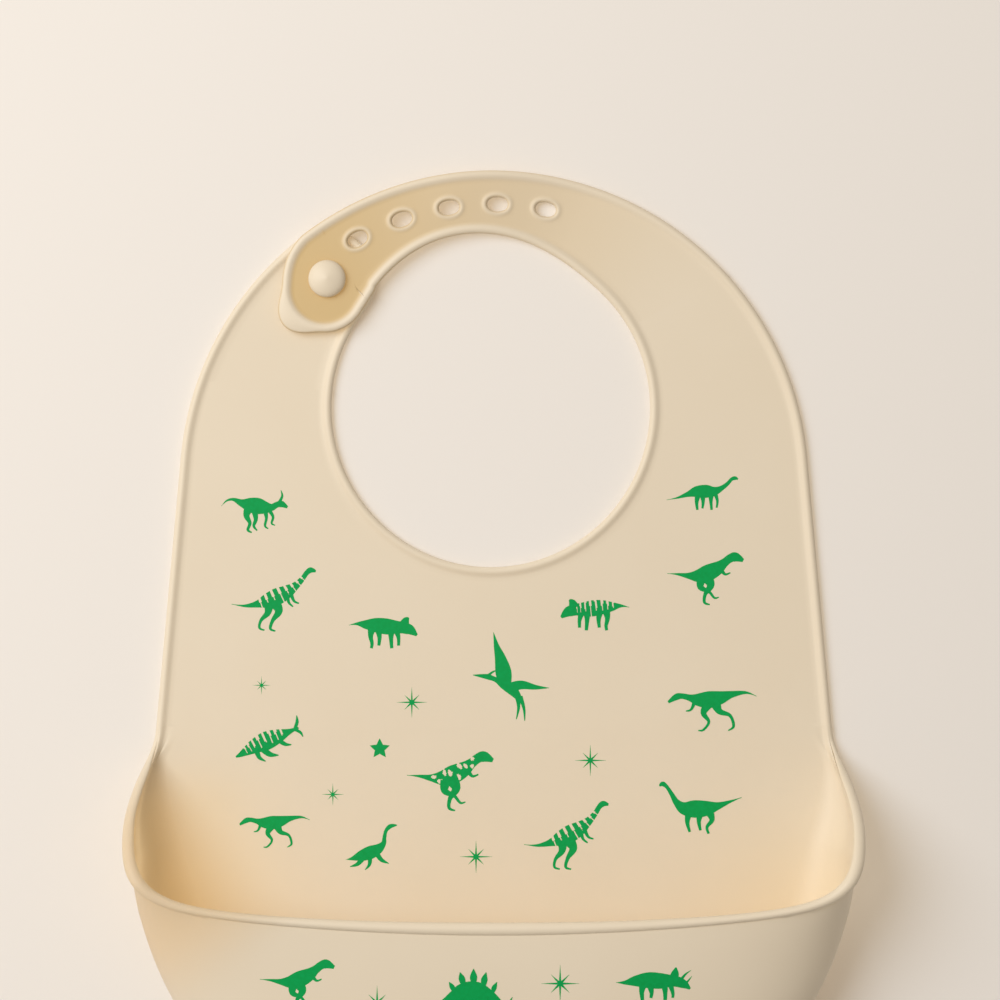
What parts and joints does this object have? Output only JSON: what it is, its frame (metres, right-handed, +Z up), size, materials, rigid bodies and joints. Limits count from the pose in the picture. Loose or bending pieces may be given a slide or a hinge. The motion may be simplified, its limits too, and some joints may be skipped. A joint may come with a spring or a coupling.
{
  "type": "silicone bib",
  "caption": "Soft silicone bib with a deep catch pocket, a round neck loop and a snap strap with adjustment holes.",
  "frame": {"origin": "centre of the bounding box at the surface the bib's back lies on", "axes": "+Z up out of the bib's front, +Y towards the neck loop, +X to the right seen from the front"},
  "size_m": [0.2224, 0.3021, 0.0398],
  "materials": {
    "silicone": "satin, slightly translucent"
  },
  "bodies": {
    "pocket_body": {"lower_panel": "silicone", "pocket_wall": "silicone", "side_rim_left": "silicone", "side_rim_right": "silicone"},
    "pocket_front_body": {"pocket_front": "silicone", "pocket_lip": "silicone"},
    "chest_body": {"chest_panel": "silicone"},
    "arm_body": {"stud_arm": "silicone", "snap_stud": "silicone"},
    "strap_body": {"hole_strap": "silicone"},
    "tip_body": {"strap_tip": "silicone"}
  },
  "joints": [
    {"name": "chest_fold", "type": "hinge", "parent": "pocket_body", "child": "chest_body", "pos_m": [0, 0.002, 0.00295], "axis": [1, 0, 0], "range_deg": [0, 100], "stiffness_Nm_per_rad": 0.006},
    {"name": "pocket_open", "type": "hinge", "parent": "pocket_body", "child": "pocket_front_body", "pos_m": [0, -0.1445, 0.005], "axis": [1, 0, 0], "range_deg": [0, 15], "stiffness_Nm_per_rad": 0.1},
    {"name": "strap_lift", "type": "hinge", "parent": "chest_body", "child": "strap_body", "pos_m": [0.03088, 0.1152, 0.00295], "axis": [0.4226, 0.9063, 0], "range_deg": [0, 80], "stiffness_Nm_per_rad": 0.003, "deforming": ["snap_stud"]},
    {"name": "tip_peel", "type": "hinge", "parent": "strap_body", "child": "tip_body", "pos_m": [-0.04745, 0.12343, 0.00672], "axis": [-0.5582, 0.8286, 0.0434], "range_deg": [0, 70], "stiffness_Nm_per_rad": 0.002, "deforming": ["snap_stud"]},
    {"name": "arm_lift", "type": "hinge", "parent": "chest_body", "child": "arm_body", "pos_m": [-0.04761, 0.09416, 0.00295], "axis": [0.9397, -0.342, 0], "range_deg": [0, 40], "stiffness_Nm_per_rad": 0.003}
  ],
  "couplings": [
    {"joint": "arm_lift", "follows": "strap_lift", "ratio": 0.5}
  ]
}
